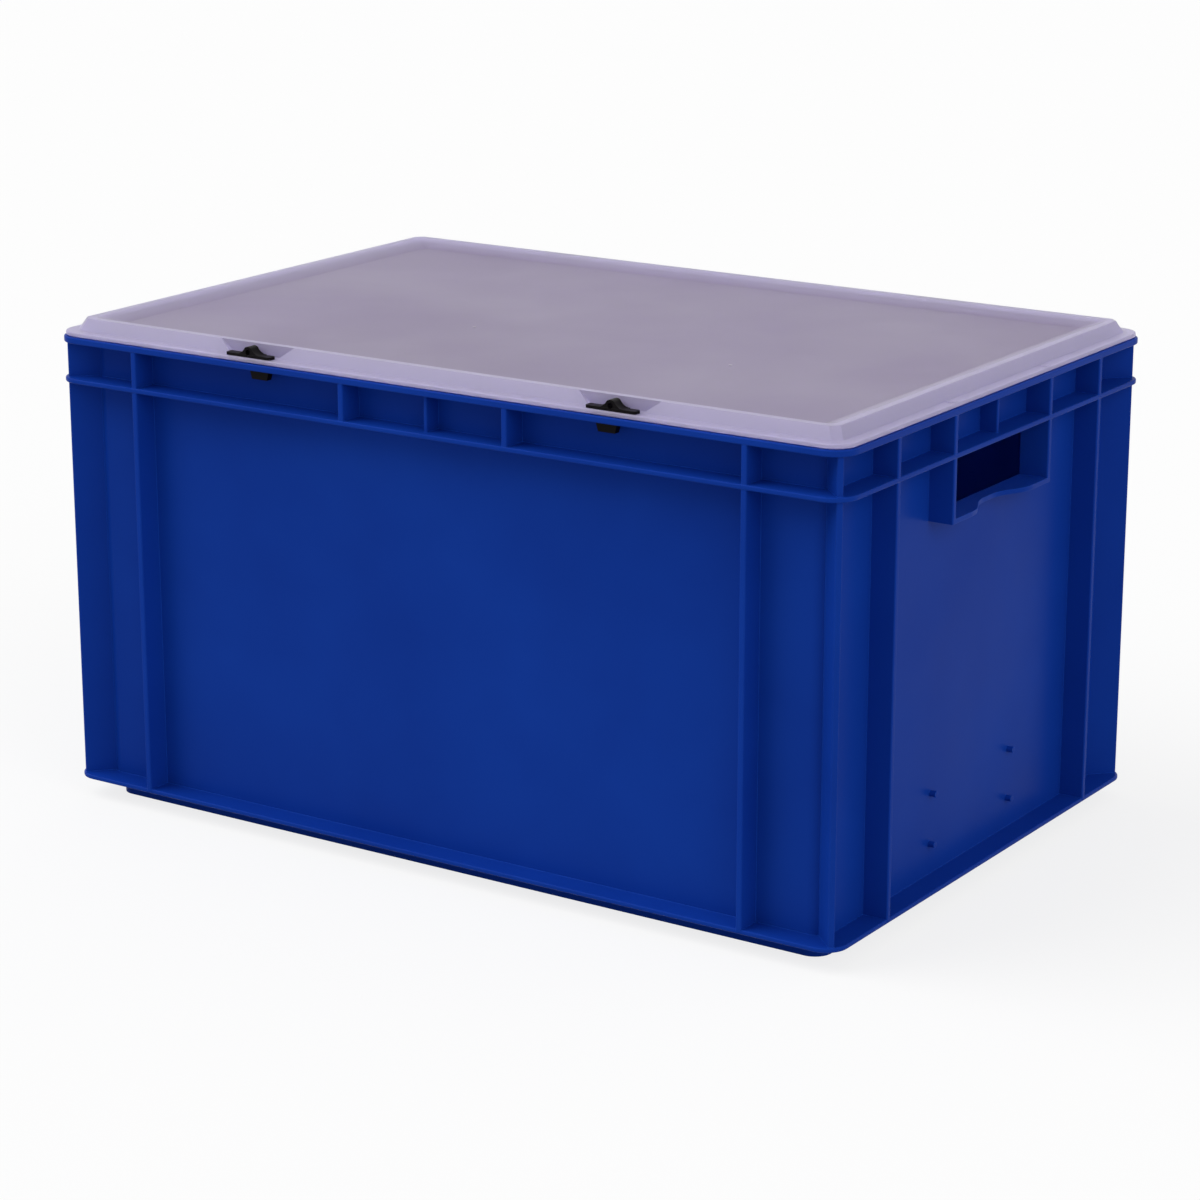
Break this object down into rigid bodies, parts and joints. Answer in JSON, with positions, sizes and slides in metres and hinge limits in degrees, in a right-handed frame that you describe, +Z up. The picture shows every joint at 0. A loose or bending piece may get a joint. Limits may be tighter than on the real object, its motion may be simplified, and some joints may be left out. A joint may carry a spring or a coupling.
{
  "type": "attached lid tote",
  "caption": "Rectangular ribbed stacking tote with a one-piece lid hinged at the back, sliding front latches that take a seal, and hand holes in the short sides.",
  "frame": {"origin": "centre of the flat underside, where the tote stands", "axes": "+X along the long side, towards the right-hand end seen from the front; +Y from the latches to the hinges; +Z up"},
  "size_m": [0.6, 0.4, 0.331],
  "materials": {
    "tote_plastic": "blue polypropylene, satin",
    "lid_plastic": "translucent greyish polypropylene, satin",
    "latch_plastic": "black moulded plastic, satin",
    "hinge_plastic": "black moulded plastic, satin",
    "pin_steel": "bright drawn steel"
  },
  "bodies": {
    "tote": {"tote": "tote_plastic", "hinge_base_left": "hinge_plastic", "hinge_base_right": "hinge_plastic"},
    "lid": {"lid": "lid_plastic", "hinge_leaf_left": "hinge_plastic", "hinge_leaf_right": "hinge_plastic", "hinge_pin_left": "pin_steel", "hinge_pin_right": "pin_steel"},
    "latch_left": {"latch_left": "latch_plastic"},
    "latch_right": {"latch_right": "latch_plastic"}
  },
  "joints": [
    {"name": "lid_hinge", "type": "hinge", "parent": "tote", "child": "lid", "pos_m": [0, 0.1976, 0.3258], "axis": [-1, 0, 0], "range_deg": [0, 228]},
    {"name": "latch_left_slide", "type": "slide", "parent": "lid", "child": "latch_left", "axis": [1, 0, 0], "range_m": [0, 0.0085]},
    {"name": "latch_right_slide", "type": "slide", "parent": "lid", "child": "latch_right", "axis": [-1, 0, 0], "range_m": [0, 0.0085]}
  ]
}
